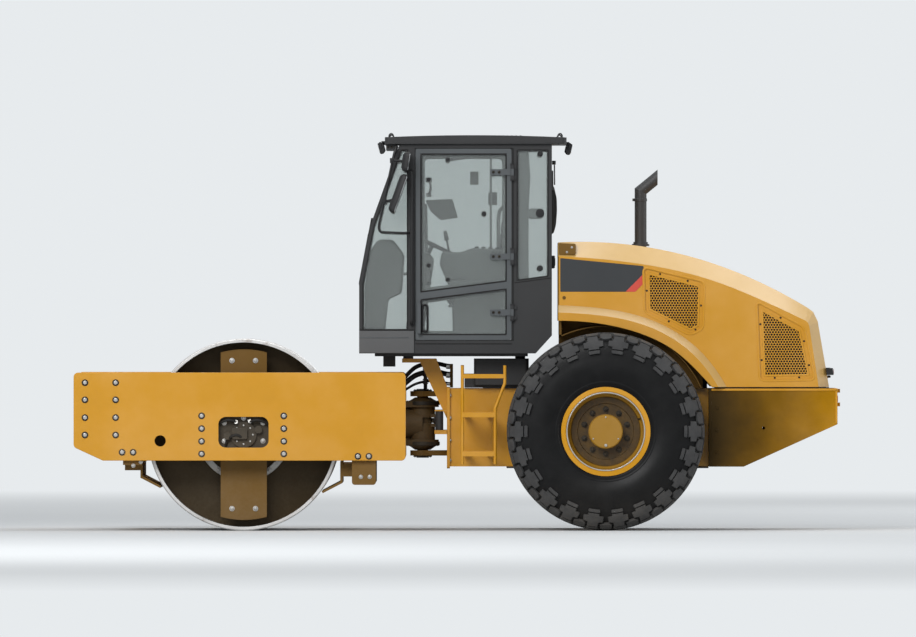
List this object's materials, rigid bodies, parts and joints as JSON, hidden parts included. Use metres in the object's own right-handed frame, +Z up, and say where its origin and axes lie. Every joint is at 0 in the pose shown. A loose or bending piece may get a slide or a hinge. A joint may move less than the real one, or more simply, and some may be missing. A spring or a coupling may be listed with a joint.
{
  "type": "road roller",
  "caption": "Articulated single drum road roller with a smooth vibrating drum in front, an enclosed cab, a sloping engine hood and two lugged rear tyres.",
  "frame": {"origin": "on the floor, below the middle of the whole machine's length and width", "axes": "+X from the drum towards the engine (the machine's back), +Y to the machine's right side, +Z up"},
  "size_m": [6.144, 2.42, 3.1639],
  "materials": {
    "yellow_paint": "semi-gloss",
    "charcoal_paint": "satin",
    "shaded_paint": "satin",
    "drum_steel": "worn",
    "chrome_rod": "polished",
    "tinted_glass": "clear",
    "tyre_rubber": "matt",
    "black_rubber": "matt",
    "black_plastic": "matt",
    "cast_block": "rough",
    "seat_cloth": "woven",
    "lamp_plastic": "gloss",
    "stack_steel": "matt"
  },
  "bodies": {
    "rear_frame": {"hitch_ears": "yellow_paint", "bulkhead": "yellow_paint", "rails": "yellow_paint", "belly_plate": "shaded_paint", "tail_cross": "yellow_paint", "tail_sides": "yellow_paint", "tail_pan": "yellow_paint", "axle_housing": "shaded_paint", "engine_block": "cast_block", "radiator": "cast_block", "firewall": "shaded_paint", "wheel_arches": "shaded_paint", "cab_support": "yellow_paint", "cab_cradle": "charcoal_paint", "ladders": "yellow_paint", "cab_side_left": "charcoal_paint", "hinge_posts": "charcoal_paint", "cab_side_right": "charcoal_paint", "cab_front": "charcoal_paint", "cab_rear": "charcoal_paint", "cab_floor": "charcoal_paint", "cab_roof": "charcoal_paint", "windscreen": "tinted_glass", "side_glass": "tinted_glass", "rear_glass": "tinted_glass", "lamps": "lamp_plastic", "mirrors": "black_plastic", "grab_rails": "black_plastic", "seat": "seat_cloth", "console": "black_plastic"},
    "front_frame": {"side_plate_left": "yellow_paint", "side_plate_right": "yellow_paint", "front_beam": "yellow_paint", "rear_beam": "yellow_paint", "drum_motors": "cast_block", "scraper_front": "yellow_paint", "scraper_rear": "yellow_paint"},
    "drum_body": {"drum": "drum_steel", "drive_bars": "yellow_paint", "isolators": "black_rubber"},
    "hitch": {"hitch_casting": "shaded_paint"},
    "steer_barrel_l": {"steer_barrel_left": "charcoal_paint"},
    "steer_rod_l": {"steer_rod_left": "chrome_rod"},
    "steer_barrel_r": {"steer_barrel_right": "charcoal_paint"},
    "steer_rod_r": {"steer_rod_right": "chrome_rod"},
    "wheel_left": {"tyre_left": "tyre_rubber", "rim_left": "yellow_paint"},
    "wheel_right": {"tyre_right": "tyre_rubber", "rim_right": "yellow_paint"},
    "door_l": {"door_left": "charcoal_paint", "door_glass_left": "tinted_glass"},
    "door_r": {"door_right": "charcoal_paint", "door_glass_right": "tinted_glass"},
    "hood": {"hood_shell": "yellow_paint", "exhaust": "stack_steel", "grilles": "yellow_paint", "tail_lamps": "lamp_plastic"}
  },
  "joints": [
    {"name": "steer", "type": "hinge", "parent": "rear_frame", "child": "hitch", "pos_m": [-0.284, 0, 0.856], "axis": [0, 0, 1], "range_deg": [-34, 34]},
    {"name": "oscillation", "type": "hinge", "parent": "hitch", "child": "front_frame", "pos_m": [-0.687, 0, 0.856], "axis": [1, 0, 0], "range_deg": [-15, 15]},
    {"name": "drum_spin", "type": "hinge", "parent": "front_frame", "child": "drum_body", "pos_m": [-1.714, 0, 0.767], "axis": [0, 1, 0], "continuous": true},
    {"name": "wheel_left_spin", "type": "hinge", "parent": "rear_frame", "child": "wheel_left", "pos_m": [1.182, -0.865, 0.792], "axis": [0, 1, 0], "continuous": true},
    {"name": "wheel_right_spin", "type": "hinge", "parent": "rear_frame", "child": "wheel_right", "pos_m": [1.182, 0.865, 0.792], "axis": [0, 1, 0], "continuous": true},
    {"name": "door_left_swing", "type": "hinge", "parent": "rear_frame", "child": "door_l", "pos_m": [0.435, -0.822, 2.3], "axis": [0, 0, 1], "range_deg": [0, 90]},
    {"name": "door_right_swing", "type": "hinge", "parent": "rear_frame", "child": "door_r", "pos_m": [0.435, 0.822, 2.3], "axis": [0, 0, -1], "range_deg": [0, 90]},
    {"name": "hood_tilt", "type": "hinge", "parent": "rear_frame", "child": "hood", "pos_m": [0.832, 0, 2.24], "axis": [0, -1, 0], "range_deg": [0, 40]},
    {"name": "steer_barrel_left_swing", "type": "hinge", "parent": "rear_frame", "child": "steer_barrel_l", "pos_m": [-0.15, -0.45, 0.876], "axis": [0, 0, 1], "range_deg": [-4, 4]},
    {"name": "steer_rod_left_slide", "type": "slide", "parent": "steer_barrel_l", "child": "steer_rod_l", "axis": [-0.0698, 0.9976, 0], "range_m": [-0.064, 0.064]},
    {"name": "steer_barrel_right_swing", "type": "hinge", "parent": "rear_frame", "child": "steer_barrel_r", "pos_m": [-0.15, 0.45, 0.876], "axis": [0, 0, 1], "range_deg": [-4, 4]},
    {"name": "steer_rod_right_slide", "type": "slide", "parent": "steer_barrel_r", "child": "steer_rod_r", "axis": [-0.0698, -0.9976, 0], "range_m": [-0.064, 0.064]}
  ],
  "couplings": [
    {"joint": "steer_barrel_left_swing", "follows": "steer", "ratio": -0.115},
    {"joint": "steer_rod_left_slide", "follows": "steer", "m_per_rad": 0.1065},
    {"joint": "steer_barrel_right_swing", "follows": "steer", "ratio": -0.115},
    {"joint": "steer_rod_right_slide", "follows": "steer", "m_per_rad": -0.1065}
  ]
}
